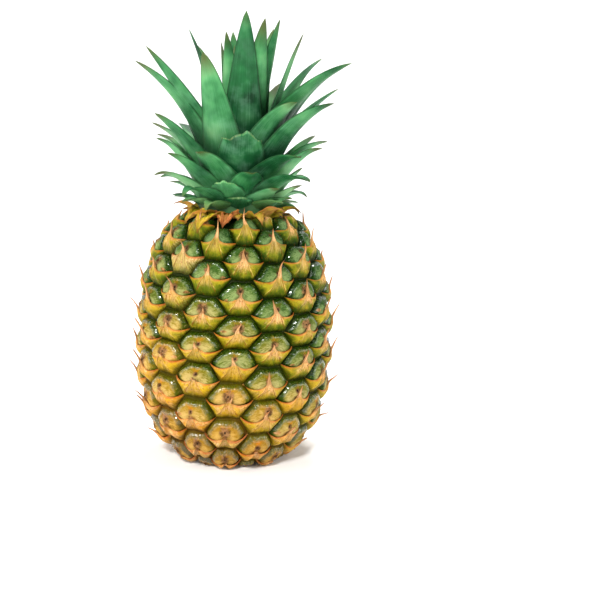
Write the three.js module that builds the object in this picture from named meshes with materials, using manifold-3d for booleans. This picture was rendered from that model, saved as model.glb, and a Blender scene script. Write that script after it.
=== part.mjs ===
// A ripe pineapple standing upright on its base: the fruit with its raised eyes, bracts and
// spines, the leafy crown, and the cut end of the stalk that it grew on.
// Millimetres, +Z up, origin at the centre of the base. The front is -Y, and an azimuth is
// counted in degrees from the front towards +X.
import * as THREE from "three";
import { mergeVertices } from "three/addons/utils/BufferGeometryUtils.js";
import Module from "manifold-3d";

const wasm = await Module();
wasm.setup();

// Skin of the fruit at the bottom of the grooves between its eyes: two half superellipses.
const BODY_RADIUS = 59.5; // at the widest level
const WIDEST_Z = 73.5; // height of the widest level above the base
const UPPER = { height: 92, power: 2.66 };
const LOWER = { height: 77, power: 2.5 }; // cut off flat by the base
const SEAT_RADIUS = 27; // flat top under the crown
const PROFILE_STEPS = 400;

// Eyes: one spiral, in which eye k touches eyes k + 8, k + 9 and k + 17.
const LEFT_STEP = 9; // eye k + 9 is the upper left neighbour of eye k
const RIGHT_STEP = 8; // eye k + 8 is its upper right neighbour
const RANKS = LEFT_STEP + RIGHT_STEP; // near-vertical ranks round the fruit
const EYE_TURN = -42.2502; // degrees from one eye to the next
const EYE_AZIMUTH = 3; // of eye 0
const EYE_ARC = 41.2; // of eye 0: distance above the widest level, along the skin
const EYE_PITCH = 20.65; // distance between neighbours in a rank, along the skin
const PITCH_SLOPE = 0.24; // quadratic and cubic parts of that distance
const PITCH_CURVE = 0.119;
const EYE_SHIFT = 0.05; // irregularity of the eyes' places, in ranks and pitches
const BASE_FADE = 12; // the relief dies away over this distance to the base
const SEAT_FADE = 8; // and over this one to the seat
const PLAIN_FADE = 0.12; // an eye with less relief than this is left plain

// Relief of one eye: [ranks across, pitches up, height in millimetres].
const GROOVE_HEIGHT = 0.3;
const EYE_POINTS = {
  rimLeft: [-0.49, 0.05, 2.9],
  rimSideLeft: [-0.44, 0.24, 3.3],
  rimShoulderLeft: [-0.25, 0.4, 3.7],
  rimTop: [0, 0.445, 3.9],
  rimShoulderRight: [0.25, 0.4, 3.7],
  rimSideRight: [0.44, 0.24, 3.3],
  rimRight: [0.49, 0.05, 2.9],
  domeFoot: [0, 0.01, 3.6],
  domeMiddle: [0, 0.2, 5.0],
  wingLeft: [-0.36, -0.1, 4.8],
  spineLeft: [-0.08, -0.05, 6.2],
  spineRight: [0.08, -0.05, 6.2],
  spineFront: [0, -0.11, 6.6],
  wingRight: [0.36, -0.1, 4.8],
  flankLeft: [-0.29, -0.3, 3.3],
  keel: [0, -0.24, 5.0],
  flankRight: [0.29, -0.3, 3.3],
};
// A spine's length and height in millimetres, its sway in ranks, how far from the base and the
// seat it is shorter, and the irregularity of its length and height.
const SPINE = {
  length: 9, height: 10.5, sway: 0.09, shortToBase: 45, shortToSeat: 16,
  lengthScatter: 0.25, heightScatter: 0.2,
};
// Spines that are broken, or that lean their own way: the share that is left of the usual
// length, and the sway in ranks.
const ODD_SPINES = new Map([
  [-76, [0.3, 0]], [-75, [0.9, -0.1]], [-68, [0.1, 0]], [-67, [0.4, 0]], [-59, [0.35, 0]],
  [-58, [1.1, -0.05]], [-51, [0.45, 0.1]], [-50, [0.25, 0]], [-42, [0.3, -0.05]], [-41, [1.1, -0.05]],
  [-34, [0.75, -0.06]], [-33, [0.3, 0]], [-25, [0.4, -0.08]], [-24, [1.1, -0.05]], [-17, [0.75, 0]],
  [-16, [0.3, 0.05]], [-9, [1.2, -0.18]], [-8, [0.4, 0.05]], [-7, [1.2, -0.1]], [-1, [1, 0]],
  [0, [0.5, 0.04]], [1, [1.1, 0]], [8, [1.1, 0.2]], [9, [1, 0.04]], [10, [0.8, -0.05]],
  [16, [1, 0.25]], [17, [0.8, 0]], [18, [0.95, -0.08]], [24, [1, 0.05]], [25, [1, 0]],
  [26, [1.05, 0.05]], [27, [1, 0]], [33, [1.1, 0]], [34, [1.2, -0.15]],
]);
// Of the other spines, those whose number from -1 to 1 is above the limit are worn short.
const WORN_SPINES = { share: 0.45, limitAtBase: 0.1, limitAtSeat: 0.6 };
const EYE_FACES = [
  // the dome, from its grooves up to its rim and its middle
  ["left", "rimLeft", "rimSideLeft"],
  ["left", "rimSideLeft", "upLeft"],
  ["upLeft", "rimSideLeft", "rimShoulderLeft"],
  ["upLeft", "rimShoulderLeft", "rimTop", "top"],
  ["rimTop", "rimShoulderRight", "upRight", "top"],
  ["upRight", "rimShoulderRight", "rimSideRight"],
  ["upRight", "rimSideRight", "right"],
  ["right", "rimSideRight", "rimRight"],
  ["domeMiddle", "rimSideLeft", "rimLeft"],
  ["domeMiddle", "rimShoulderLeft", "rimSideLeft"],
  ["domeMiddle", "rimTop", "rimShoulderLeft"],
  ["domeMiddle", "rimShoulderRight", "rimTop"],
  ["domeMiddle", "rimSideRight", "rimShoulderRight"],
  ["domeMiddle", "rimRight", "rimSideRight"],
  ["domeMiddle", "domeFoot", "rimRight"],
  ["domeMiddle", "rimLeft", "domeFoot"],
  // the step from the dome up to the bract's edge, and the back of the spine
  ["left", "wingLeft", "rimLeft"],
  ["wingLeft", "spineLeft", "domeFoot", "rimLeft"],
  ["spineLeft", "spineTip", "domeFoot"],
  ["spineRight", "domeFoot", "spineTip"],
  ["wingRight", "rimRight", "domeFoot", "spineRight"],
  ["right", "rimRight", "wingRight"],
  // the front of the spine, and the bract down to its grooves
  ["spineLeft", "spineFront", "spineTip"],
  ["spineRight", "spineTip", "spineFront"],
  ["left", "downLeft", "flankLeft", "wingLeft"],
  ["wingLeft", "flankLeft", "keel", "spineFront", "spineLeft"],
  ["wingRight", "spineRight", "spineFront", "keel", "flankRight"],
  ["wingRight", "flankRight", "downRight", "right"],
  ["downLeft", "bottom", "keel", "flankLeft"],
  ["bottom", "downRight", "flankRight", "keel"],
];
const EYE_OUTLINE = ["right", "upRight", "top", "upLeft", "left", "downLeft", "bottom", "downRight"];

// Dry bracts that droop from the seat over the top eyes, under the crown, and their irregularity.
const COLLAR = {
  count: 21, turn: 137.508, radius: 26.5, sink: 1.5, width: 14, length: 17, thickness: 1.4,
  rootTilt: 64, tipTilt: -56, taper: 0.95,
};
const COLLAR_SCATTER = { length: 0.35, width: 0.3, rootTilt: 8, tipTilt: 24 };
// Bracts that hang over the fruit's shoulder: length, width, tip tilt and root tilt.
const ODD_COLLAR = {
  0: [13, 12, -50, 40],
  5: [24, 20, -80, 20],
  8: [20, 14, -70, 40],
  13: [19, 19, -66, 24],
  18: [23, 19, -70, 36],
};

// Crown: leaves on a core of their packed roots, one golden angle from each to the next. From
// the lowest leaf to the innermost, share by share: length and width in millimetres, the
// blade's tilt above the horizontal at its root and at its tip in degrees, and the power of
// its taper.
const LEAF_COUNT = 74;
const LEAF_TURN = 137.508;
const LEAF_AZIMUTH = -20; // of the lowest leaf
const LEAF_SHAPES = [
  { share: 0, length: 27, width: 22, rootTilt: 38, tipTilt: -16, taper: 0.8 },
  { share: 0.12, length: 29, width: 25, rootTilt: 45, tipTilt: -8, taper: 0.8 },
  { share: 0.25, length: 38, width: 27, rootTilt: 52, tipTilt: 2, taper: 0.7 },
  { share: 0.4, length: 47, width: 31, rootTilt: 60, tipTilt: 16, taper: 0.62 },
  { share: 0.55, length: 60, width: 35, rootTilt: 66, tipTilt: 24, taper: 0.62 },
  { share: 0.7, length: 85, width: 35, rootTilt: 73, tipTilt: 38, taper: 0.66 },
  { share: 0.85, length: 88, width: 31, rootTilt: 80, tipTilt: 64, taper: 0.7 },
  { share: 1, length: 68, width: 16, rootTilt: 92, tipTilt: 88, taper: 0.7 },
];
// Leaves that have grown out of the even order: azimuth, length, tip tilt and, where it is their
// own too, root tilt.
const ODD_LEAVES = {
  0: [-26, 28, -20],
  3: [36, 28, -8],
  5: [-48, 28, -20],
  6: [85, 20, -30],
  8: [0, 32, -6],
  10: [-85, 25, -7],
  11: [51, 25, -4],
  13: [-36, 41, -18],
  16: [32, 30, 7],
  18: [-63, 45, 7],
  19: [73, 27, 20],
  21: [-15, 38, 10],
  23: [-101, 38, -1],
  24: [42, 49, -21],
  26: [-47, 49, 17],
  27: [93, 32, 42],
  29: [10, 32, 18],
  31: [-74, 51, 42],
  32: [64, 51, 27],
  34: [-27, 44, 14],
  35: [113, 55, 37],
  37: [38, 48, -5],
  39: [-59, 62, 32],
  40: [80, 52, 18],
  42: [2, 88, -8],
  44: [-87, 55, 22],
  45: [51, 76, 15, 70],
  47: [-25, 83, 65],
  50: [33, 66, 13, 80],
  52: [-69, 87, 29],
  53: [66, 88, 31],
  55: [4, 98, 92],
  57: [-97, 80, 40],
  58: [50, 96, 16, 64],
  60: [-60, 86, 46, 58],
  63: [26, 88, 79],
};
const TORN_LEAVES = { 8: 0.55, 21: 0.6, 42: 0.45 }; // share of the length that is left
const LEAF_SCATTER = { azimuth: 4, length: 0.08, tipTilt: 8 };
const LEAF_THICKNESS = 2;
// Blades bend more towards their tips, where they are also thinner and less channelled.
const BLADE = { bendPower: 1.3, channel: 0.42, channelEase: 0.35, thinning: 0.6, stations: 6 };
const FINEST_DETAIL = 0.15; // smaller chips where blades cross are dropped
const LEAF_RISE = { first: 5.5, slope: 0.08, curve: 0.0073 }; // root above the seat, by leaf
// The crown's core: radius, and height above the seat.
const CROWN_CORE = [[0, 0], [25, 0], [26, 8], [25, 18], [21, 30], [14, 42], [6, 53], [0, 58]];
const CORE_SIDES = 16;
const ROOT_SINK = 7; // leaf roots reach this far into the crown's core

// Cut end of the stalk, in a plain socket in the base.
const STALK = { radius: 11.5, length: 12, sides: 20 };
const GAP = 0.3; // between touching pieces

const MERGE_DISTANCE = 1e-3; // points closer than this are one
const CAP_REACH = 1; // open edges this near a cap's level belong to it

const { degToRad, lerp, clamp, euclideanModulo } = THREE.MathUtils;

// A fixed pseudo-random number from -1 to 1 for item i.
function jitter(i, salt) {
  return 2 * euclideanModulo(Math.sin(i * 12.9898 + salt * 78.233) * 43758.5453, 1) - 1;
}

function smoothstep(x) {
  const t = clamp(x, 0, 1);
  return t * t * (3 - 2 * t);
}

// A point from its distance to the axis, its azimuth and its height.
function atAzimuth(radius, azimuth, z) {
  const angle = degToRad(azimuth);
  return new THREE.Vector3(radius * Math.sin(angle), -radius * Math.cos(angle), z);
}

// ---- closed surfaces and solids ----

class Surface {
  constructor() {
    this.points = [];
    this.triangles = [];
    this.indexByName = new Map();
  }

  // Index of the named point, which place() makes when it is first asked for.
  point(name, place) {
    if (!this.indexByName.has(name)) this.indexByName.set(name, this.points.push(place()) - 1);
    return this.indexByName.get(name);
  }

  face(corners) {
    for (let i = 2; i < corners.length; i++) {
      this.triangles.push([corners[0], corners[i - 1], corners[i]]);
    }
  }

  // Close the open edges that lie at height z with a fan round the axis.
  cap(z) {
    const edges = this.triangles.flatMap(([a, b, c]) => [[a, b], [b, c], [c, a]]);
    const known = new Set(edges.map(([a, b]) => `${a} ${b}`));
    const open = edges.filter(([a, b]) => !known.has(`${b} ${a}`));
    const hub = this.points.push(new THREE.Vector3(0, 0, z)) - 1;
    for (const [a, b] of open) {
      if (Math.abs(this.points[a].z - z) < CAP_REACH) this.triangles.push([b, a, hub]);
    }
  }

  solid() {
    const vertProperties = Float32Array.from(this.points.flatMap((p) => p.toArray()));
    const triVerts = Uint32Array.from(this.triangles.flat());
    return new wasm.Manifold(new wasm.Mesh({ numProp: 3, vertProperties, triVerts }));
  }
}

function solidFromGeometry(geometry) {
  geometry.deleteAttribute("normal");
  geometry.deleteAttribute("uv");
  const merged = mergeVertices(geometry, MERGE_DISTANCE);
  const vertProperties = Float32Array.from(merged.getAttribute("position").array);
  const triVerts = Uint32Array.from(merged.index.array);
  return new wasm.Manifold(new wasm.Mesh({ numProp: 3, vertProperties, triVerts }));
}

function geometryFromSolid(solid) {
  const mesh = solid.getMesh();
  const geometry = new THREE.BufferGeometry();
  geometry.setAttribute("position", new THREE.BufferAttribute(mesh.vertProperties, 3));
  geometry.setIndex(new THREE.BufferAttribute(mesh.triVerts, 1));
  return geometry;
}

// The geometry of a solid's outermost shell: hollows that its pieces sealed when they were
// joined are filled, and slivers that come loose as close points are merged are dropped.
function filledGeometry(solid) {
  let shells = [solid];
  let geometry;
  do {
    geometry = geometryFromSolid(shells.reduce((a, b) => (b.volume() > a.volume() ? b : a)));
    shells = solidFromGeometry(geometry).decompose();
  } while (shells.length > 1);
  geometry.computeVertexNormals();
  return geometry;
}

// ---- skin ----

// Distance to the axis and height at an angle from the widest level.
function superellipse(angle) {
  const half = angle < 0 ? LOWER : UPPER;
  const radius = BODY_RADIUS * Math.cos(angle) ** (2 / half.power);
  const rise = half.height * Math.abs(Math.sin(angle)) ** (2 / half.power);
  return new THREE.Vector2(radius, WIDEST_Z + Math.sign(angle) * rise);
}

// The skin's outline from the base up to the seat, with arc lengths from the widest level.
function skinOutline() {
  const baseAngle = -Math.asin((WIDEST_Z / LOWER.height) ** (LOWER.power / 2));
  const seatAngle = Math.acos((SEAT_RADIUS / BODY_RADIUS) ** (UPPER.power / 2));
  const points = [];
  const arcs = [];
  for (let i = 0; i <= PROFILE_STEPS; i++) {
    points.push(superellipse(lerp(baseAngle, seatAngle, i / PROFILE_STEPS)));
    arcs.push(i === 0 ? 0 : arcs[i - 1] + points[i].distanceTo(points[i - 1]));
  }
  const arcAtWidest = arcs[points.findIndex((p) => p.y >= WIDEST_Z)];
  return { points, arcs: arcs.map((arc) => arc - arcAtWidest) };
}
const outline = skinOutline();
const BASE_ARC = outline.arcs[0];
const SEAT_ARC = outline.arcs[PROFILE_STEPS];
const BASE_RADIUS = outline.points[0].x;
const SEAT_Z = outline.points[PROFILE_STEPS].y;

// Radius, height and outward normal of the skin at an arc length. Past the base's or the
// seat's edge it runs inwards over the flat.
function skin(arc) {
  if (arc <= BASE_ARC) return { radius: BASE_RADIUS - (BASE_ARC - arc), z: 0, out: 0, up: -1 };
  if (arc >= SEAT_ARC) return { radius: SEAT_RADIUS - (arc - SEAT_ARC), z: SEAT_Z, out: 0, up: 1 };
  const i = outline.arcs.findIndex((a) => a > arc);
  const share = (arc - outline.arcs[i - 1]) / (outline.arcs[i] - outline.arcs[i - 1]);
  const here = outline.points[i - 1].clone().lerp(outline.points[i], share);
  const along = outline.points[i].clone().sub(outline.points[i - 1]).normalize();
  return { radius: here.x, z: here.y, out: along.y, up: -along.x };
}

// Share of the full relief at an arc length.
function fade(arc) {
  return smoothstep(Math.min((arc - BASE_ARC) / BASE_FADE, (SEAT_ARC - arc) / SEAT_FADE));
}

// ---- eyes ----

const RANK_LEAN = euclideanModulo(EYE_TURN * RANKS + 180, 360) - 180; // degrees in one pitch
const RANK_WIDTH = 360 / RANKS;

// Eyes are placed by their azimuth and by pitches above eye 0.
function arcAt(up) {
  return EYE_ARC + EYE_PITCH * up + PITCH_SLOPE * up ** 2 + PITCH_CURVE * up ** 3;
}

function eyePlace(k) {
  return {
    azimuth: EYE_AZIMUTH + EYE_TURN * k + RANK_WIDTH * EYE_SHIFT * jitter(k, 1),
    up: k / RANKS + EYE_SHIFT * jitter(k, 2),
  };
}

// The place midway between some eyes, counting azimuths round from the first eye's.
function between(eyes) {
  const places = eyes.map(eyePlace);
  const turn = (place) => euclideanModulo(place.azimuth - places[0].azimuth + 180, 360) - 180;
  const mean = (values) => values.reduce((sum, value) => sum + value) / values.length;
  return {
    azimuth: places[0].azimuth + mean(places.map(turn)),
    up: mean(places.map((place) => place.up)),
  };
}

// The height that relief keeps at an arc length: it fades, and it never reaches below the base.
function kept(height, arc) {
  const { z, up } = skin(arc);
  return Math.min(height * fade(arc), up < 0 ? -z / up : Infinity);
}

// The point at a place, raised from the skin by a height.
function raised(place, height) {
  const arc = arcAt(place.up);
  const { radius, z, out, up } = skin(arc);
  const rise = kept(height, arc);
  return atAzimuth(radius + rise * out, place.azimuth, z + rise * up);
}

// Eyes that meet at each point of an eye's outline.
function outlineEyes(k) {
  const [left, right, above] = [LEFT_STEP, RIGHT_STEP, RANKS];
  return {
    upRight: [k, k + right, k + above],
    upLeft: [k, k + left, k + above],
    top: [k, k + above],
    left: [k - right, k, k + left],
    right: [k - left, k, k + right],
    downRight: [k - above, k - left, k],
    downLeft: [k - above, k - right, k],
    bottom: [k - above, k],
  };
}

// The share of its usual length that is left of a spine, and its sway in ranks.
function spineHabit(k, arc) {
  const level = (arc - BASE_ARC) / (SEAT_ARC - BASE_ARC);
  const worn = jitter(k, 6) > lerp(WORN_SPINES.limitAtBase, WORN_SPINES.limitAtSeat, level);
  const usual = [worn ? WORN_SPINES.share : 1, SPINE.sway * jitter(k, 5)];
  const [left, sway] = ODD_SPINES.get(k) ?? usual;
  return { left, sway };
}

// The tip of an eye's spine, which rises off the skin and leans up along it. Spines are
// shorter towards the base and the seat.
function spineTip(k) {
  const eye = eyePlace(k);
  const arc = arcAt(eye.up);
  const { radius, z, out, up } = skin(arc);
  const toBase = smoothstep((arc - BASE_ARC) / SPINE.shortToBase);
  const toSeat = smoothstep((SEAT_ARC - arc) / SPINE.shortToSeat);
  const { left, sway } = spineHabit(k, arc);
  const along = SPINE.length * toBase * toSeat * left * (1 + SPINE.lengthScatter * jitter(k, 3));
  const height = lerp(EYE_POINTS.spineFront[2], SPINE.height, toBase * toSeat * left);
  const off = kept(height * (1 + SPINE.heightScatter * jitter(k, 4)), arc);
  const azimuth = eye.azimuth + RANK_WIDTH * sway;
  return atAzimuth(radius + off * out - along * up, azimuth, z + off * up + along * out);
}

function addEye(surface, k) {
  const eye = eyePlace(k);
  const corners = outlineEyes(k);
  const at = (across, up) => ({
    azimuth: eye.azimuth + RANK_WIDTH * across + RANK_LEAN * up,
    up: eye.up + up,
  });
  const full = fade(arcAt(eye.up));
  const point = (name) => {
    if (name in corners) {
      const eyes = corners[name];
      return surface.point(eyes.join(), () => raised(between(eyes), GROOVE_HEIGHT));
    }
    if (name === "spineTip") return surface.point(`${k} ${name}`, () => spineTip(k));
    const [across, up, height] = EYE_POINTS[name];
    return surface.point(`${k} ${name}`, () => raised(at(across, up), height));
  };
  if (full > PLAIN_FADE) {
    for (const face of EYE_FACES) surface.face(face.map(point));
  } else {
    surface.face(EYE_OUTLINE.map(point));
  }
}

// ---- blades: leaves and collar bracts ----

// One blade from its root, bending from rootTilt to tipTilt in the plane at its azimuth, with
// a channelled section of four points: two margins, the inner face and the keel behind it.
// A torn blade ends at a share of its length, with a ragged edge.
function bladeSolid(blade) {
  const surface = new Surface();
  const end = blade.tornAt ?? 1;
  const bend = new THREE.Vector2(blade.rootRadius, blade.rootZ);
  const sections = [];
  let before = 0;
  for (let j = 0; j <= BLADE.stations; j++) {
    const t = (end * j) / BLADE.stations;
    const tilt = (u) => degToRad(lerp(blade.rootTilt, blade.tipTilt, u ** BLADE.bendPower));
    const middle = tilt((before + t) / 2);
    bend.x += Math.cos(middle) * blade.length * (t - before);
    bend.y += Math.sin(middle) * blade.length * (t - before);
    before = t;
    const half = (blade.width / 2) * (1 - t) ** blade.taper;
    const channel = BLADE.channel * half * (1 - BLADE.channelEase * t);
    const thick = blade.thickness * (1 - BLADE.thinning * t);
    const place = (side, rise) => {
      const radius = bend.x - rise * Math.sin(tilt(t));
      const point = atAzimuth(radius, blade.azimuth, bend.y + rise * Math.cos(tilt(t)));
      const across = atAzimuth(side, blade.azimuth + 90, 0);
      return surface.points.push(point.add(across)) - 1;
    };
    if (half === 0) {
      sections.push([place(0, 0)]);
    } else {
      const corners = [[-half, channel], [0, -thick / 2], [half, channel], [0, thick / 2]];
      sections.push(corners.map(([side, rise]) => place(side, rise)));
    }
  }
  surface.face([...sections[0]].reverse());
  for (let j = 1; j < sections.length; j++) {
    const [low, high] = [sections[j - 1], sections[j]];
    for (let c = 0; c < 4; c++) {
      const d = (c + 1) % 4;
      surface.face(high.length === 1 ? [low[c], low[d], high[0]] : [low[c], low[d], high[d], high[c]]);
    }
  }
  if (sections.at(-1).length > 1) surface.face(sections.at(-1));
  return surface.solid();
}

// A leaf's shape at a share of the way from the lowest leaf to the innermost.
function leafShape(share) {
  const next = Math.max(1, LEAF_SHAPES.findIndex((shape) => shape.share >= share));
  const [low, high] = [LEAF_SHAPES[next - 1], LEAF_SHAPES[next]];
  const t = (share - low.share) / (high.share - low.share);
  return Object.fromEntries(Object.keys(low).map((key) => [key, lerp(low[key], high[key], t)]));
}

// Radius of the crown's core at a height above the seat.
function coreRadius(rise) {
  const next = Math.max(2, CROWN_CORE.findIndex(([, z]) => z >= rise));
  const [low, high] = [CROWN_CORE[next - 1], CROWN_CORE[next]];
  return lerp(low[0], high[0], (rise - low[1]) / (high[1] - low[1]));
}

function crownLeaf(i) {
  const shape = leafShape(i / (LEAF_COUNT - 1));
  const [azimuth, length, tipTilt, rootTilt = shape.rootTilt] = ODD_LEAVES[i] ?? [
    LEAF_AZIMUTH + LEAF_TURN * i + LEAF_SCATTER.azimuth * jitter(i, 11),
    shape.length * (1 + LEAF_SCATTER.length * jitter(i, 12)),
    shape.tipTilt + LEAF_SCATTER.tipTilt * jitter(i, 14),
  ];
  const rise = LEAF_RISE.first + LEAF_RISE.slope * i + LEAF_RISE.curve * i ** 2;
  const tilt = degToRad(rootTilt);
  return bladeSolid({
    ...shape,
    azimuth,
    length,
    rootTilt,
    tipTilt,
    rootRadius: coreRadius(rise) - ROOT_SINK * Math.cos(tilt),
    rootZ: SEAT_Z + GAP + rise - ROOT_SINK * Math.sin(tilt),
    thickness: LEAF_THICKNESS,
    tornAt: TORN_LEAVES[i],
  });
}

function collarBract(i) {
  const [length, width, tipTilt, rootTilt] = ODD_COLLAR[i] ?? [
    COLLAR.length * (1 + COLLAR_SCATTER.length * jitter(i, 21)),
    COLLAR.width * (1 + COLLAR_SCATTER.width * jitter(i, 22)),
    COLLAR.tipTilt + COLLAR_SCATTER.tipTilt * jitter(i, 24),
    COLLAR.rootTilt + COLLAR_SCATTER.rootTilt * jitter(i, 23),
  ];
  return bladeSolid({
    ...COLLAR,
    azimuth: COLLAR.turn * i,
    rootRadius: COLLAR.radius,
    rootZ: SEAT_Z - COLLAR.sink,
    length,
    width,
    rootTilt,
    tipTilt,
  });
}

// ---- pieces ----

function makeFruit() {
  const seatReach = RANKS * 0.5;
  let last = 0;
  while (arcAt((last - seatReach) / RANKS) < SEAT_ARC) last += 1;
  let first = 0;
  while (arcAt((first + seatReach) / RANKS) > BASE_ARC) first -= 1;
  const surface = new Surface();
  for (let k = first; k <= last; k++) addEye(surface, k);
  surface.cap(0);
  surface.cap(SEAT_Z);
  const socket = new THREE.CylinderGeometry(
    STALK.radius + GAP, STALK.radius + GAP, 2 * (STALK.length + GAP), STALK.sides);
  socket.rotateX(Math.PI / 2);
  const collar = Array.from({ length: COLLAR.count }, (_, i) => collarBract(i));
  const body = wasm.Manifold.union([surface.solid(), ...collar]);
  const outside = solidFromGeometry(filledGeometry(body.simplify(FINEST_DETAIL)));
  return filledGeometry(outside.subtract(solidFromGeometry(socket)));
}

function makeCrown() {
  const core = new THREE.LatheGeometry(CROWN_CORE.map((point) => new THREE.Vector2(...point)), CORE_SIDES);
  core.rotateX(Math.PI / 2);
  core.translate(0, 0, SEAT_Z + GAP);
  const leaves = Array.from({ length: LEAF_COUNT }, (_, i) => crownLeaf(i));
  const crown = wasm.Manifold.union([solidFromGeometry(core), ...leaves]);
  const outside = solidFromGeometry(filledGeometry(crown));
  return filledGeometry(outside.trimByPlane([0, 0, 1], SEAT_Z + GAP).simplify(FINEST_DETAIL));
}

function makeStalk() {
  const stalk = new THREE.CylinderGeometry(STALK.radius, STALK.radius, STALK.length, STALK.sides);
  stalk.rotateX(Math.PI / 2);
  stalk.translate(0, 0, STALK.length / 2);
  return stalk;
}

function piece(name, geometry, color, roughness) {
  const material = new THREE.MeshStandardMaterial({ color, roughness, metalness: 0 });
  const mesh = new THREE.Mesh(geometry, material);
  mesh.name = name;
  return mesh;
}

const pineapple = new THREE.Group();
pineapple.add(
  piece("fruit", makeFruit(), 0x8f8b33, 0.45),
  piece("crown", makeCrown(), 0x3f8a58, 0.5),
  piece("stalk", makeStalk(), 0xb8a06a, 0.8),
);

export default pineapple;
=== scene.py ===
"""A ripe pineapple: fruit with its eyes, bracts and spines, leafy crown and cut stalk.

The shapes repeat the formulas of the part's source in finer meshes. Lengths are in
millimetres up to Build.object(), which writes metres. The front is -Y, and an azimuth is
counted in degrees from the front towards +X.
"""

import math

import bpy
import numpy as np
from mathutils import Matrix, Vector


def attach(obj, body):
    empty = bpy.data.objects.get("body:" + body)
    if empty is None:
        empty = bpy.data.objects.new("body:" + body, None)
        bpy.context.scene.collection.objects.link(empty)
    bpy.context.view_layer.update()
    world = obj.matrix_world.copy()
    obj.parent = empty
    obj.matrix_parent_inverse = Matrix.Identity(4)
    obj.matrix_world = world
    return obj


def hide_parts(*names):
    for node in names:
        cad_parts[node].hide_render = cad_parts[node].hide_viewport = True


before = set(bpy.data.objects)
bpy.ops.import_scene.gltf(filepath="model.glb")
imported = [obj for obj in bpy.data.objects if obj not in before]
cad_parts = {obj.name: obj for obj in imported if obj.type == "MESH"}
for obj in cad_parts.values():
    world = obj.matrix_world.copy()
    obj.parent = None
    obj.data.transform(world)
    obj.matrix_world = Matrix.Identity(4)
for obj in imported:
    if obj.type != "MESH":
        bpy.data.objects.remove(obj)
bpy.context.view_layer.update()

MM = 0.001

# ---- the source's driving dimensions ----

BODY_RADIUS = 59.5
WIDEST_Z = 73.5
UPPER_HEIGHT, UPPER_POWER = 92, 2.66
LOWER_HEIGHT, LOWER_POWER = 77, 2.5
SEAT_RADIUS = 27
PROFILE_STEPS = 400

LEFT_STEP, RIGHT_STEP = 9, 8
RANKS = LEFT_STEP + RIGHT_STEP
EYE_TURN = -42.2502
EYE_AZIMUTH = 3
EYE_ARC = 41.2
EYE_PITCH = 20.65
PITCH_SLOPE = 0.24
PITCH_CURVE = 0.119
EYE_SHIFT = 0.05
BASE_FADE, SEAT_FADE = 12, 8
PLAIN_FADE = 0.12
GROOVE_HEIGHT = 0.3
SPINE_LENGTH, SPINE_HEIGHT, SPINE_SWAY = 9, 10.5, 0.09
SPINE_FOOT = 6.6  # height of the spine's foot
SHORT_TO_BASE, SHORT_TO_SEAT = 45, 16
ODD_SPINES = {  # share of the usual length, and sway in ranks
    -76: (0.3, 0), -75: (0.9, -0.1), -68: (0.1, 0), -67: (0.4, 0), -59: (0.35, 0), -58: (1.1, -0.05),
    -51: (0.45, 0.1), -50: (0.25, 0), -42: (0.3, -0.05), -41: (1.1, -0.05), -34: (0.75, -0.06), -33: (0.3, 0),
    -25: (0.4, -0.08), -24: (1.1, -0.05), -17: (0.75, 0), -16: (0.3, 0.05), -9: (1.2, -0.18), -8: (0.4, 0.05),
    -7: (1.2, -0.1), -1: (1, 0), 0: (0.5, 0.04), 1: (1.1, 0), 8: (1.1, 0.2), 9: (1, 0.04),
    10: (0.8, -0.05), 16: (1, 0.25), 17: (0.8, 0), 18: (0.95, -0.08), 24: (1, 0.05), 25: (1, 0),
    26: (1.05, 0.05), 27: (1, 0), 33: (1.1, 0), 34: (1.2, -0.15),
}
WORN_SHARE = 0.45
WORN_AT_SEAT, WORN_AT_BASE = 0.6, 0.1  # a spine whose own number is above this is worn

COLLAR_COUNT, COLLAR_TURN, COLLAR_RADIUS, COLLAR_SINK = 21, 137.508, 26.5, 1.5
COLLAR_WIDTH, COLLAR_LENGTH, COLLAR_THICKNESS, COLLAR_TAPER = 14, 17, 1.4, 0.95
COLLAR_ROOT_TILT, COLLAR_TIP_TILT = 64, -56
COLLAR_SCATTER = (0.35, 0.3, 24, 8)  # of length, width, tip tilt and root tilt
ODD_COLLAR = {  # length, width, tip tilt, root tilt
    0: (13, 12, -50, 40), 5: (24, 20, -80, 20), 8: (20, 14, -70, 40), 13: (19, 19, -66, 24),
    18: (23, 19, -70, 36),
}

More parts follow.
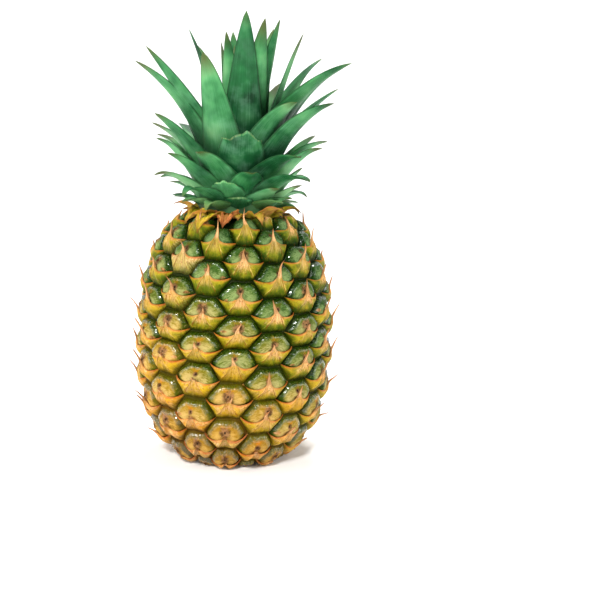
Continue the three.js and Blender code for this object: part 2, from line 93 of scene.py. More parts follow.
CROWN_CORE = [(0, 0), (25, 0), (26, 8), (25, 18), (21, 30), (14, 42), (6, 53), (0, 58)]
LEAF_COUNT, LEAF_TURN, LEAF_AZIMUTH = 74, 137.508, -20
LEAF_SCATTER = (4, 0.08, 8)  # of azimuth, length and tip tilt
LEAF_SHAPES = [  # share, length, width, root tilt, tip tilt, taper
    (0, 27, 22, 38, -16, 0.8),
    (0.12, 29, 25, 45, -8, 0.8),
    (0.25, 38, 27, 52, 2, 0.7),
    (0.4, 47, 31, 60, 16, 0.62),
    (0.55, 60, 35, 66, 24, 0.62),
    (0.7, 85, 35, 73, 38, 0.66),
    (0.85, 88, 31, 80, 64, 0.7),
    (1, 68, 16, 92, 88, 0.7),
]
ODD_LEAVES = {  # azimuth, length, tip tilt and, where it is their own too, root tilt
    0: (-26, 28, -20), 3: (36, 28, -8), 5: (-48, 28, -20), 6: (85, 20, -30), 8: (0, 32, -6),
    10: (-85, 25, -7), 11: (51, 25, -4), 13: (-36, 41, -18), 16: (32, 30, 7), 18: (-63, 45, 7),
    19: (73, 27, 20), 21: (-15, 38, 10), 23: (-101, 38, -1), 24: (42, 49, -21), 26: (-47, 49, 17),
    27: (93, 32, 42), 29: (10, 32, 18), 31: (-74, 51, 42), 32: (64, 51, 27), 34: (-27, 44, 14),
    35: (113, 55, 37), 37: (38, 48, -5), 39: (-59, 62, 32), 40: (80, 52, 18), 42: (2, 88, -8),
    44: (-87, 55, 22), 45: (51, 76, 15, 70), 47: (-25, 83, 65), 50: (33, 66, 13, 80), 52: (-69, 87, 29),
    53: (66, 88, 31), 55: (4, 98, 92), 57: (-97, 80, 40), 58: (50, 96, 16, 64),
    60: (-60, 86, 46, 58), 63: (26, 88, 79),
}
TORN_LEAVES = {8: 0.55, 21: 0.6, 42: 0.45}
LEAF_THICKNESS = 2
RISE_FIRST, RISE_SLOPE, RISE_CURVE = 5.5, 0.08, 0.0073
ROOT_SINK = 7
STALK_RADIUS, STALK_LENGTH = 11.5, 12
GAP = 0.3

# ---- fineness of the meshes ----

SIDE_STEPS, CAP_STEPS = 6, 4  # steps along an eye's slanted sides and half its level ones
RINGS = np.array([0.12, 0.24, 0.35, 0.45, 0.54, 0.62, 0.69, 0.745, 0.79, 0.83, 0.87, 0.905, 0.94, 0.975])
DOME_HUB = (0, 0.14)  # centre of an eye's rings, in ranks and pitches
BRACT_ROWS = 10
LEAF_STEPS, LEAF_COLUMNS = 26, 11
COLLAR_STEPS, COLLAR_COLUMNS = 20, 17
CORE_STEPS, CORE_SIDES = 24, 48
STALK_SIDES = 64


def jitter(i, salt):
    """A fixed pseudo-random number from -1 to 1 for item i."""
    return 2 * ((math.sin(i * 12.9898 + salt * 78.233) * 43758.5453) % 1) - 1


def smoothstep(x):
    t = np.clip(x, 0, 1)
    return t * t * (3 - 2 * t)


def lerp(a, b, t):
    return a + (b - a) * t


def hump(*axes):
    """A smooth hump of height 1; each axis is a value, its value at the top, and a width."""
    return np.exp(-sum(((x - top) / width) ** 2 for x, top, width in axes))


def full_turn(sides):
    return np.linspace(0, 360, sides, endpoint=False)


def at_azimuth(radius, azimuth, z):
    """Points from their distances to the axis, azimuths and heights."""
    angle = np.radians(azimuth)
    return np.stack(np.broadcast_arrays(radius * np.sin(angle), -radius * np.cos(angle), z), axis=-1)


# ---- skin of the fruit ----


def superellipse(angle):
    lower = angle < 0
    height = np.where(lower, LOWER_HEIGHT, UPPER_HEIGHT)
    power = np.where(lower, LOWER_POWER, UPPER_POWER)
    radius = BODY_RADIUS * np.cos(angle) ** (2 / power)
    rise = height * np.abs(np.sin(angle)) ** (2 / power)
    return radius, WIDEST_Z + np.sign(angle) * rise


def skin_outline():
    base_angle = -math.asin((WIDEST_Z / LOWER_HEIGHT) ** (LOWER_POWER / 2))
    seat_angle = math.acos((SEAT_RADIUS / BODY_RADIUS) ** (UPPER_POWER / 2))
    radius, z = superellipse(np.linspace(base_angle, seat_angle, PROFILE_STEPS + 1))
    steps = np.hypot(np.diff(radius), np.diff(z))
    arcs = np.concatenate([[0], np.cumsum(steps)])
    return radius, z, arcs - arcs[np.argmax(z >= WIDEST_Z)]


OUTLINE_RADIUS, OUTLINE_Z, OUTLINE_ARC = skin_outline()
BASE_ARC, SEAT_ARC = OUTLINE_ARC[0], OUTLINE_ARC[-1]
BASE_RADIUS, SEAT_Z = OUTLINE_RADIUS[0], OUTLINE_Z[-1]
_MIDDLES = (OUTLINE_ARC[1:] + OUTLINE_ARC[:-1]) / 2
_STEPS = np.diff(OUTLINE_ARC)
_OUT = np.diff(OUTLINE_Z) / _STEPS
_UP = -np.diff(OUTLINE_RADIUS) / _STEPS


def skin(arc):
    """Radius, height and outward normal (out, up) of the skin at arc lengths."""
    arc = np.asarray(arc, float)
    below, above = arc <= BASE_ARC, arc >= SEAT_ARC
    radius = np.interp(arc, OUTLINE_ARC, OUTLINE_RADIUS)
    radius = np.where(below, BASE_RADIUS - (BASE_ARC - arc), radius)
    radius = np.where(above, SEAT_RADIUS - (arc - SEAT_ARC), radius)
    z = np.interp(arc, OUTLINE_ARC, OUTLINE_Z)
    out, up = np.interp(arc, _MIDDLES, _OUT), np.interp(arc, _MIDDLES, _UP)
    flat = below | above
    return radius, z, np.where(flat, 0, out), np.where(flat, np.where(below, -1, 1), up)


def fade(arc):
    return smoothstep(np.minimum((arc - BASE_ARC) / BASE_FADE, (SEAT_ARC - arc) / SEAT_FADE))


def kept(height, arc):
    """The height that relief keeps at an arc length, never below the base."""
    _, z, _, up = skin(arc)
    room = np.where(up < 0, -z / np.minimum(up, -1e-6), np.inf)
    return np.minimum(height * fade(arc), room)


def arc_at(up):
    return EYE_ARC + EYE_PITCH * up + PITCH_SLOPE * up**2 + PITCH_CURVE * up**3


# ---- eyes' places ----

RANK_WIDTH = 360 / RANKS
RANK_LEAN = (EYE_TURN * RANKS + 180) % 360 - 180


def eye_place(k):
    azimuth = EYE_AZIMUTH + EYE_TURN * k + RANK_WIDTH * EYE_SHIFT * jitter(k, 1)
    return azimuth, k / RANKS + EYE_SHIFT * jitter(k, 2)


def raised(k, a, b, height):
    """Points over the skin, at places in ranks and pitches from eye k's own."""
    azimuth, up = eye_place(k)
    arc = arc_at(up + b)
    radius, z, out, tall = skin(arc)
    rise = kept(height, arc)
    return at_azimuth(radius + rise * out, azimuth + RANK_WIDTH * a + RANK_LEAN * b, z + rise * tall)


def local(k, eyes):
    """The place midway between some eyes, in ranks and pitches from eye k's own place."""
    azimuth, up = eye_place(k)
    places = [eye_place(other) for other in eyes]
    turn = sum((a - azimuth + 180) % 360 - 180 for a, _ in places) / len(places)
    rise = sum(u for _, u in places) / len(places) - up
    return (turn - RANK_LEAN * rise) / RANK_WIDTH, rise


def outline_eyes(k):
    """Eyes that meet at each point of eye k's outline, going round from its right."""
    left, right, above = LEFT_STEP, RIGHT_STEP, RANKS
    return [
        (k - left, k, k + right),
        (k, k + right, k + above),
        (k, k + above),
        (k, k + left, k + above),
        (k - right, k, k + left),
        (k - above, k - right, k),
        (k - above, k),
        (k - above, k - left, k),
    ]


def eye_range():
    last = 0
    while arc_at((last - RANKS * 0.5) / RANKS) < SEAT_ARC:
        last += 1
    first = 0
    while arc_at((first + RANKS * 0.5) / RANKS) > BASE_ARC:
        first -= 1
    return range(first, last + 1)


EYES = eye_range()


def spine_habit(k):
    """Share of the usual length that is left of eye k's spine, and its sway in ranks."""
    level = (arc_at(eye_place(k)[1]) - BASE_ARC) / (SEAT_ARC - BASE_ARC)
    worn = jitter(k, 6) > lerp(WORN_AT_BASE, WORN_AT_SEAT, level)
    return ODD_SPINES.get(k, (WORN_SHARE if worn else 1, SPINE_SWAY * jitter(k, 5)))


# ---- mesh helpers ----


class Build:
    """Points, faces and per-point values gathered for one mesh."""

    def __init__(self):
        self.points, self.faces, self.values, self.count = [], [], {}, 0

    def add(self, points, **values):
        """Adds an array of points and their values, and returns their indices in its shape."""
        points = np.asarray(points, float)
        shape = points.shape[:-1]
        size = int(np.prod(shape))
        self.points.append(points.reshape(size, 3))
        for name, value in values.items():
            flat = np.broadcast_to(np.asarray(value, float), shape).reshape(size)
            self.values.setdefault(name, []).append(flat)
        start, self.count = self.count, self.count + size
        return np.arange(start, self.count).reshape(shape)

    def grid(self, index, flip=False, around=False):
        """Quads over a 2-D array of indices."""
        if around:
            index = np.concatenate([index, index[:, :1]], axis=1)
        quads = np.stack([index[:-1, :-1], index[:-1, 1:], index[1:, 1:], index[1:, :-1]], axis=-1)
        quads = quads.reshape(-1, 4)
        self.faces.extend((quads[:, ::-1] if flip else quads).tolist())

    def fan(self, hub, loop, flip=False):
        """Triangles from a hub to the closed loop of indices."""
        for a, b in zip(loop, np.roll(loop, -1)):
            self.faces.append([hub, b, a] if flip else [hub, a, b])

    def shell(self, front, back):
        """Both sides of a thin shell, and its edge."""
        self.grid(front)
        self.grid(back, flip=True)
        self.grid(np.stack([border(back), border(front)]), around=True)

    def object(self, name):
        mesh = bpy.data.meshes.new(name)
        points = np.concatenate(self.points) * MM
        mesh.from_pydata(points.tolist(), [], self.faces)
        for value_name, parts in self.values.items():
            attribute = mesh.attributes.new(value_name, "FLOAT", "POINT")
            attribute.data.foreach_set("value", np.concatenate(parts).astype(np.float32))
        mesh.polygons.foreach_set("use_smooth", [True] * len(mesh.polygons))
        mesh.update()
        piece = bpy.data.objects.new(name, mesh)
        bpy.context.scene.collection.objects.link(piece)
        return piece


def border(index):
    """The indices round a grid's edge."""
    return np.concatenate([index[0], index[1:, -1], index[-1, -2::-1], index[-2:0:-1, 0]])


# ---- fruit: the domes of the eyes and the grooves between them ----

DOME_WIDTH, DOME_TOP, DOME_FOOT = 0.58, 0.475, 0.22  # half width and reaches of a dome's outline
DOME_MIDDLE = 0.02  # the outline's own centre, in pitches
DOME_POWER = 2.4
DOME_CORNERS = 0.04  # how far an outline's six blunt corners stand out, as a share
DOME_HEIGHT = 4.7
DOME_BELLY, DOME_SHOULDER = 4.2, 0.7  # powers that flatten the middle and round the sides
CREST, RIM_HEIGHT, RIM_WIDTH = 0.8, 0.45, 0.06  # the glossy rim
DISH_PLACE, DISH_DEPTH, DISH_WIDTH = 0.5, 0.8, 0.18
UPPER_FADE = 0.14  # pitches over which the rim and the dish grow
SWELL_HEIGHT, SWELL_PLACE, SWELL_WIDTH, SWELL_REACH = 0.7, 0.16, 0.26, 0.13
SCAR = 0.17  # height of the mark where the flower dried off, in pitches
PIT_DEPTH, PIT_WIDTH = 1, 0.045
RING_HEIGHT, RING_PLACE, RING_WIDTH = 0.35, 0.09, 0.03
FOLD_HEIGHT, DOME_LEAN = 0.08, 0.9
SEAT_DEPTH, SEAT_PLACE, SEAT_WIDTH, SEAT_REACH = 1.6, -0.01, 0.13, 0.08  # under the spine
DEAD_SIDE, DEAD_WIDTH, DEAD_REACH, DEAD_RELIEF = 0.4, 0.13, 0.05, 0.35
SUNNY_SIDE, SUNNY_GAIN = -85, 0.14  # azimuth where the fruit is ripest, and how much riper
GROOVE_VALUES = dict(rim=1.6, side=1, rise=0, dead=0, tone=0)
OUTLINE_STEPS = [SIDE_STEPS, CAP_STEPS, CAP_STEPS, SIDE_STEPS] * 2
GLOSSY = (0.68, 0.92)  # shares of the outline between which the rim shines
GLOSSY_FROM = -0.08  # height over the scar from which it shines, in pitches


def dome_outline(a, b):
    """0 at the dome's centre, 1 on its outline."""
    reach = np.where(b > DOME_MIDDLE, DOME_TOP - DOME_MIDDLE, DOME_FOOT)
    across = np.abs(a / DOME_WIDTH) ** DOME_POWER
    along = np.abs((b - DOME_MIDDLE) / reach) ** DOME_POWER
    return (across + along) ** (1 / DOME_POWER)


def dead_patch(k, a, b):
    """How dead the skin is beside the spine, and how it has crumpled there."""
    side, rise = math.copysign(DEAD_SIDE, jitter(k, 51)), 0.02 + 0.06 * jitter(k, 52)
    dead = hump((a, side, DEAD_WIDTH), (b, rise, DEAD_REACH)) * max(0, min(1, 0.35 + 1.1 * jitter(k, 53)))
    return dead, DEAD_RELIEF * dead * np.sin(a * 60 + 5 * jitter(k, 54)) * np.sin(b * 75)


def dome_height(k, a, b):
    """Eye k's height over the skin, and the values its material needs."""
    turn = np.arctan2(b - DOME_MIDDLE, a)
    corners = DOME_CORNERS * (1 + 0.5 * jitter(k, 56)) * np.cos(6 * turn + 1.2 * jitter(k, 55))
    e = dome_outline(a, b) * (1 - corners)
    body = DOME_HEIGHT * (1 + 0.12 * jitter(k, 34)) * np.clip(1 - e**DOME_BELLY, 0, 1) ** DOME_SHOULDER
    upper = smoothstep(b / UPPER_FADE)
    notch = 1 + 0.3 * np.sin(turn * 9 + 6 * jitter(k, 39)) + 0.3 * np.sin(turn * 17 + 4 * jitter(k, 40))
    rim = (RIM_HEIGHT + 0.15 * jitter(k, 35)) * hump((e, CREST, RIM_WIDTH)) * upper * notch
    dish = -DISH_DEPTH * hump((e, DISH_PLACE, DISH_WIDTH)) * upper
    swell = SWELL_HEIGHT * hump((a, 0, SWELL_WIDTH), (b, SWELL_PLACE, SWELL_REACH))
    da, db = a - 0.05 * jitter(k, 36), b - SCAR - 0.04 * jitter(k, 37)
    far, angle = np.hypot(da, db), np.arctan2(db, da)
    ribs = np.sin(angle * 7 + 7 * jitter(k, 31)) + 0.7 * np.sin(angle * 12 + 5 * jitter(k, 32))
    folds = FOLD_HEIGHT * ribs * smoothstep((far - 0.02) / 0.08) * smoothstep((0.8 - e) / 0.4)
    scar = -PIT_DEPTH * hump((far, 0, PIT_WIDTH)) + RING_HEIGHT * hump((far, RING_PLACE, RING_WIDTH))
    seat = -SEAT_DEPTH * hump((a, 0, SEAT_WIDTH), (b, SEAT_PLACE, SEAT_REACH))
    lean = DOME_LEAN * jitter(k, 38) * a * np.clip(1 - e**4, 0, 1)
    dead, crumple = dead_patch(k, a, b)
    height = np.maximum(GROOVE_HEIGHT, body + rim + dish + swell + folds + scar + seat + lean + crumple)
    return height, dict(rim=e, side=da, rise=db, dead=dead)


def ripeness(k):
    """From 0 at the top to 1 at the base, and more on the fruit's sunny side."""
    level = 1 - (k - EYES[0]) / len(EYES)
    return level + SUNNY_GAIN * math.cos(math.radians(eye_place(k)[0] - SUNNY_SIDE))


def eye_loop(build, index_of, k):
    """The points round eye k's outline, which it shares with its neighbours, and their places."""
    corner_eyes = outline_eyes(k)
    corners = np.array([local(k, eyes) for eyes in corner_eyes])
    loop, where = [], []
    for c, steps in enumerate(OUTLINE_STEPS):
        following = (c + 1) % len(corners)
        names = (corner_eyes[c], corner_eyes[following])
        for j in range(steps):
            a, b = lerp(corners[c], corners[following], j / steps)
            if j == 0:
                key = names[0]
            else:
                key = (*names, j) if names[0] < names[1] else (*names[::-1], steps - j)
            if key not in index_of:
                place = raised(k, a, b, GROOVE_HEIGHT)
                index_of[key] = build.add([place], **GROOVE_VALUES, ripe=ripeness(k))[0]
            loop.append(index_of[key])
            where.append((a, b))
    return loop, np.array(where)


def add_dome(build, k, loop, where):
    """Rings of points from eye k's outline to its middle, and the faces between them."""
    hub = np.array(DOME_HUB)
    own = dict(ripe=ripeness(k), tone=jitter(k, 33))
    rings = hub + RINGS[:, None, None] * (where - hub)
    a, b = rings[..., 0], rings[..., 1]
    height, values = dome_height(k, a, b)
    index = build.add(raised(k, a, b, height), **values, **own)
    top, values = dome_height(k, *hub)
    middle = build.add([raised(k, *hub, top)], **values, **own)[0]
    build.fan(middle, index[0])
    build.grid(np.concatenate([index, [loop]]), flip=True, around=True)


def make_fruit():
    build = Build()
    index_of, rim_edges = {}, {}
    for k in EYES:
        loop, where = eye_loop(build, index_of, k)
        add_dome(build, k, loop, where)
        for p, q in zip(loop, loop[1:] + loop[:1]):
            if rim_edges.pop((q, p), None) is None:
                rim_edges[(p, q)] = True
    close_fruit(build, rim_edges)
    return build.object("fruit_eyes")


def shine_rims(piece, material):
    """Gives the faces along the domes' upper rims their own glossier material."""
    mesh = piece.data
    mesh.materials.append(material)
    rim, rise = np.empty(len(mesh.vertices)), np.empty(len(mesh.vertices))
    mesh.attributes["rim"].data.foreach_get("value", rim)
    mesh.attributes["rise"].data.foreach_get("value", rise)
    for face in mesh.polygons:
        share = rim[list(face.vertices)].mean()
        if GLOSSY[0] < share < GLOSSY[1] and rise[face.vertices[0]] > GLOSSY_FROM:
            face.material_index = 1


def close_fruit(build, open_edges):
    """Closes the seat with a fan and the base with a ring, a socket wall and its roof."""
    points = np.concatenate(build.points)
    hub = build.add([[0, 0, SEAT_Z]], ripe=0, **GROOVE_VALUES)[0]
    socket_radius, roof_z = STALK_RADIUS + GAP, STALK_LENGTH + GAP
    roof = build.add([[0, 0, roof_z]], ripe=1, **GROOVE_VALUES)[0]
    inner = {}

    def socket_points(p):
        if p not in inner:
            x, y, _ = points[p]
            scale = socket_radius / math.hypot(x, y)
            pair = [[x * scale, y * scale, 0], [x * scale, y * scale, roof_z]]
            inner[p] = build.add(pair, ripe=1, **GROOVE_VALUES)
        return inner[p]

    for p, q in open_edges:
        if points[p][2] > WIDEST_Z:
            build.faces.append([q, p, hub])
        else:
            (low_p, high_p), (low_q, high_q) = socket_points(p), socket_points(q)
            build.faces.append([q, p, low_p, low_q])
            build.faces.append([low_q, low_p, high_p, high_q])
            build.faces.append([high_q, high_p, roof])


# ---- fruit: bracts and their spines ----

# The bract's free margin from its left tip to the middle of its spine: ranks, pitches, and
# the share of the margin's full height.
MARGIN = [
    (-0.665, 0.02, 0.2), (-0.62, -0.005, 0.4), (-0.55, -0.035, 0.6), (-0.47, -0.06, 0.76),
    (-0.38, -0.075, 0.88), (-0.3, -0.077, 0.95), (-0.23, -0.067, 1), (-0.165, -0.046, 1.03),
    (-0.118, -0.016, 1.06), (-0.087, 0.02, 1.1), (-0.066, 0.062, 1.15), (-0.051, 0.108, 1.2),
    (-0.04, 0.16, 1.26), (-0.03, 0.225, 1.33), (-0.02, 0.3, 1.4), (-0.01, 0.38, 1.47),
    (0, 0.44, 1.5),
]
MARGIN_HEIGHT = 5
BRACT_THICKNESS = 1
FOOT_HEIGHT = 0.6
BULGE, HOLLOW = 1.3, 0.5
RIB_TOP, RIB_SPREAD = 0.36, 0.2  # a bract's two ribs: their place at the spine, and their spread
RIB_HEIGHT, RIB_WIDTH = 0.4, 0.07
STEM_WIDTH = 0.16  # ranks from the middle within which a short spine's bract is narrower
DIP_WIDTH, DIP = 0.27, -0.06  # the colours take this for the margin's height under the spine
DRY_BRACTS = {18: 1, 27: 0.5, 1: 0.35, -24: 0.6}


def bract_columns(k):
    """The ends of a bract's columns, at its foot and at its margin, from left to right."""
    half = np.array(MARGIN)
    margin = np.concatenate([half, half[-2::-1] * [-1, 1, 1]])
    corners = [local(k, eyes) for eyes in outline_eyes(k)]
    foot_path = np.array(corners[4:] + corners[:1])
    spread = np.linspace(0, 1, len(margin))
    knots = [0, 0.27, 0.5, 0.73, 1]
    foot = np.stack([np.interp(spread, knots, foot_path[:, c]) for c in (0, 1)], axis=-1)
    wave = 0.012 * np.sin(spread * 19 + 5 * jitter(k, 45))
    foot[:, 1] -= wave * np.sin(np.pi * spread) ** 0.5
    return foot, margin


def dryness(k):
    """How far a bract has dried: some by themselves, and the lower ones more than the upper."""
    low = smoothstep((ripeness(k) - 0.45) / 0.4)
    return max(DRY_BRACTS.get(k, 0), low * (0.62 + 0.35 * jitter(k, 46)))


def bract_height(k, margin, t):
    """A bract's height over the skin, from its foot at t = 0 to its margin at 1."""
    across = np.linspace(-1, 1, len(margin))
    top = MARGIN_HEIGHT * margin[:, 2] * (1 + 0.08 * jitter(k, 41))
    low = FOOT_HEIGHT * (1 - across**4)
    shape = 1 - (1 - t) ** 1.7
    bulge = BULGE * np.sin(np.pi * t) * (1 - np.abs(across) ** 2.2)
    rib_place = RIB_TOP + RIB_SPREAD * (1 - t) + 0.05 * jitter(k, 48) * np.sign(across)
    ribs = RIB_HEIGHT * hump((np.abs(across), rib_place, RIB_WIDTH)) * smoothstep((t - 0.05) / 0.3)
    hollow = -HOLLOW * hump((across, 0, 0.6 * rib_place)) * np.sin(np.pi * t**0.8)
    wrinkle = 0.18 * np.sin(across * 24 + 6 * jitter(k, 42)) * t * (1 - across**4)
    wrinkle = wrinkle + 0.14 * np.sin(across * 11 + 9 * t + 6 * jitter(k, 49)) * t
    height = low + (np.minimum(top, MARGIN_HEIGHT * 1.1) - low) * shape
    return height + bulge + hollow + ribs + wrinkle


def make_bract(build, k):
    azimuth, up = eye_place(k)
    arc = arc_at(up)
    size = smoothstep((arc - BASE_ARC) / SHORT_TO_BASE) * smoothstep((SEAT_ARC - arc) / SHORT_TO_SEAT)
    foot, margin = bract_columns(k)
    t = np.linspace(0, 1, BRACT_ROWS)[:, None]
    left, own_sway = spine_habit(k)
    stem = np.where(np.abs(margin[:, 0]) < STEM_WIDTH, 0.5 + 0.5 * min(left, 1), 1)
    a = foot[:, 0] + (margin[:, 0] * stem - foot[:, 0]) * t
    b = foot[:, 1] + (margin[:, 1] - foot[:, 1]) * t
    dip = np.where(np.abs(margin[:, 0]) < DIP_WIDTH, DIP, margin[:, 1])
    level = np.clip((b - foot[:, 1]) / (dip - foot[:, 1]), 0, 1.3)
    spine = np.clip(b / MARGIN[-1][1], 0, 1)
    lie = np.minimum(b, 0)
    curl = 0.09 * np.sin(4 * spine + 3 * jitter(k, 43)) * jitter(k, 47)
    along = SPINE_LENGTH * (1 + 0.25 * jitter(k, 3)) * spine * max(size * left, 0.06)
    lift = (SPINE_HEIGHT * (1 + 0.2 * jitter(k, 4)) - SPINE_FOOT) * size * left * spine**1.4
    height = bract_height(k, margin, t)
    thickness = BRACT_THICKNESS * (0.45 + 0.55 * (1 - t)) * (1 - 0.45 * spine)
    turn = azimuth + RANK_WIDTH * (a + (own_sway + curl) * spine) + RANK_LEAN * lie
    arcs = arc_at(up + lie)
    radius, base_z, out, tall = skin(arcs)
    values = dict(margin=t, across=np.linspace(-1, 1, len(margin)), level=level, spine=spine,
                  ripe=ripeness(k), tone=jitter(k, 44), dry=dryness(k))
    sheets = []
    for sink in (0, 1):
        rise = kept(height - sink * (thickness + 1.6 * (1 - t)), arcs) + lift - sink * 0.3 * spine
        z = np.maximum(base_z + rise * tall + along * out, 0)
        sheets.append(build.add(at_azimuth(radius + rise * out - along * tall, turn, z), **values))
    build.shell(*sheets)


def make_bracts():
    build = Build()
    for k in EYES:
        if fade(arc_at(eye_place(k)[1])) > PLAIN_FADE:
            make_bract(build, k)
    return build.object("fruit_bracts")


# ---- crown and stalk ----

BEND_POWER = 1.3
CHANNEL, CHANNEL_EASE = 0.42, 0.35  # shares of half a blade's width, and of its length
THINNING = 0.6
NARROWEST = 0.12
STALK_PROFILE = [  # radius, height
    (0.5, 0.35), (3, 0.3), (6, 0.2), (9, 0.1), (10.6, 0), (11.1, 0.25), (11.2, 6), (11.2, 12), (1, 12),
]


def blade_section(shape, x, t, tone):
    """Across a blade at its share t: how far to the side and up it lies, and how thick it is."""
    crumple = shape.get("crumple", 0)
    half = max(shape["width"] / 2 * (1 - t) ** shape["taper"], NARROWEST)
    channel = CHANNEL * half * (1 - CHANNEL_EASE * t) * np.abs(x) ** 1.55
    wave = 0.04 * half * np.sin(9 * t + 5 * tone) * x * np.abs(x)
    fold = np.sin(5 * x + 9 * t + 9 * tone) + 0.7 * np.sin(13 * x - 7 * t + 5 * tone)
    wave = wave + crumple * half * fold * smoothstep(t / 0.4)
    half = half * (1 + crumple * (0.4 * np.sin(29 * t + 7 * tone) + 0.4 * np.sin(53 * t)))
    thick = shape["thickness"] * (1 - THINNING * t) * (1 - 0.72 * x**2) * min(1, half / 2.5)
    return x * half, channel + wave, thick


def torn_shift(shape, x, share, lean, tone):
    """How far a torn leaf's points move along it, so that it ends ragged."""
    rag = 0.08 * hump((x, 0.15, 0.22)) - shape["shoulder"] * np.abs(x) ** 2.5
    rag = shape["length"] * (rag + 0.016 * np.sin(9 * x + 3 * tone) + 0.01 * np.sin(23 * x))
    direction = at_azimuth(math.cos(lean), shape["azimuth"], math.sin(lean))
    return (smoothstep((share - 0.6) / 0.4) * rag)[..., None] * direction


def blade(build, shape, columns, steps, hook=0, **values):
    """One channelled blade: the source's centre line, with a smooth section and thin margins."""
    end, azimuth, tone = shape.get("torn_at", 1), shape["azimuth"], values["tone"]
    radius, z, before = shape["root_radius"], shape["root_z"], 0
    x = np.linspace(-1, 1, columns)
    spread = (np.arange(steps + 1) / steps)[:, None] ** 0.9

    def tilt(u):
        return np.radians(lerp(shape["root_tilt"], shape["tip_tilt"], u**BEND_POWER))

    inner, outer = [], []
    for t in end * spread[:, 0]:
        hooked = hook * smoothstep((t - 0.72) / 0.28)
        middle = tilt((before + t) / 2) - hooked
        radius += math.cos(middle) * shape["length"] * (t - before)
        z += math.sin(middle) * shape["length"] * (t - before)
        before = t
        lean = tilt(t) - hooked
        side, rise, thick = blade_section(shape, x, t, tone)
        for face, up in ((inner, rise + thick / 2), (outer, rise - thick / 2)):
            row = at_azimuth(radius - up * math.sin(lean), azimuth, z + up * math.cos(lean))
            face.append(row + at_azimuth(side, azimuth + 90, 0))
    shift = torn_shift(shape, x, spread, lean, tone) if "torn_at" in shape else 0
    values = dict(values, along=end * spread, across=x, torn=("torn_at" in shape) * spread)
    build.shell(*(build.add(np.array(face) + shift, **values) for face in (inner, outer)))


def leaf_shape(share):
    shares, *columns = zip(*LEAF_SHAPES)
    return [np.interp(share, shares, column) for column in columns]


def core_radius(rise):
    radii, heights = zip(*CROWN_CORE[1:])
    return np.interp(rise, heights, radii)


def make_leaves():
    build = Build()
    for i in range(LEAF_COUNT):
        share = i / (LEAF_COUNT - 1)
        length, width, root_tilt, tip_tilt, taper = leaf_shape(share)
        azimuth, length, tip_tilt, *own_root = ODD_LEAVES.get(i, (
            LEAF_AZIMUTH + LEAF_TURN * i + LEAF_SCATTER[0] * jitter(i, 11),
            length * (1 + LEAF_SCATTER[1] * jitter(i, 12)),
            tip_tilt + LEAF_SCATTER[2] * jitter(i, 14),
        ))
        root_tilt = own_root[0] if own_root else root_tilt
        lean = math.radians(root_tilt)
        rise = RISE_FIRST + RISE_SLOPE * i + RISE_CURVE * i**2
        shape = dict(
            azimuth=azimuth, length=length, width=width, thickness=LEAF_THICKNESS, taper=taper,
            root_radius=core_radius(rise) - ROOT_SINK * math.cos(lean),
            root_z=SEAT_Z + GAP + rise - ROOT_SINK * math.sin(lean),
            root_tilt=root_tilt, tip_tilt=tip_tilt,
        )
        if i in TORN_LEAVES:
            shape.update(torn_at=TORN_LEAVES[i], shoulder=lerp(0.24, 0.07, share / 0.6))
        hook = max(0, jitter(i, 16)) * (1 - share) * 0.9
        blade(build, shape, LEAF_COLUMNS, LEAF_STEPS, hook=hook, tone=jitter(i, 15), share=share)
    return build.object("crown_leaves")


def make_collar():
    build = Build()
    for i in range(COLLAR_COUNT):
        length, width, tip_tilt, root_tilt = ODD_COLLAR.get(i, (
            COLLAR_LENGTH * (1 + COLLAR_SCATTER[0] * jitter(i, 21)),
            COLLAR_WIDTH * (1 + COLLAR_SCATTER[1] * jitter(i, 22)),
            COLLAR_TIP_TILT + COLLAR_SCATTER[2] * jitter(i, 24),
            COLLAR_ROOT_TILT + COLLAR_SCATTER[3] * jitter(i, 23),
        ))
        shape = dict(
            azimuth=COLLAR_TURN * i, length=length, width=width, taper=COLLAR_TAPER,
            thickness=COLLAR_THICKNESS * 0.7, root_radius=COLLAR_RADIUS, root_z=SEAT_Z - COLLAR_SINK,
            root_tilt=root_tilt, tip_tilt=tip_tilt,
            crumple=0.16 + 0.1 * jitter(i, 26) + 0.1 * (i in ODD_COLLAR),
        )
        blade(build, shape, COLLAR_COLUMNS, COLLAR_STEPS, tone=jitter(i, 25))
    return build.object("collar_bracts")


def make_core():
    """The crown's core, smooth where the leaves cover it."""
    build = Build()
    heights = np.concatenate([[0, 0], np.linspace(0.5, CROWN_CORE[-1][1], CORE_STEPS)])
    radii = core_radius(heights)
    radii[0] = 0.5
    points = at_azimuth(radii[:, None], full_turn(CORE_SIDES)[None, :], (SEAT_Z + GAP + heights)[:, None])
    index = build.add(points)
    build.grid(index, around=True)
    build.fan(index[0][0], index[0], flip=True)
    build.fan(index[-1][0], index[-1])
    return build.object("crown_core")


def make_stalk():
    build = Build()
    turn = full_turn(STALK_SIDES)
    lobes = 0.25 * np.sin(np.radians(turn) * 5) + 0.12 * np.sin(np.radians(turn) * 13 + 1)
    rings = [at_azimuth(radius + lobes * (radius / STALK_RADIUS) * 0.9, turn, z)
             for radius, z in STALK_PROFILE]
    index = build.add(rings)
    build.grid(index, flip=True, around=True)
    build.fan(index[0][0], index[0])
    build.fan(index[-1][0], index[-1], flip=True)
    return build.object("stalk_end")


# ---- colours ----

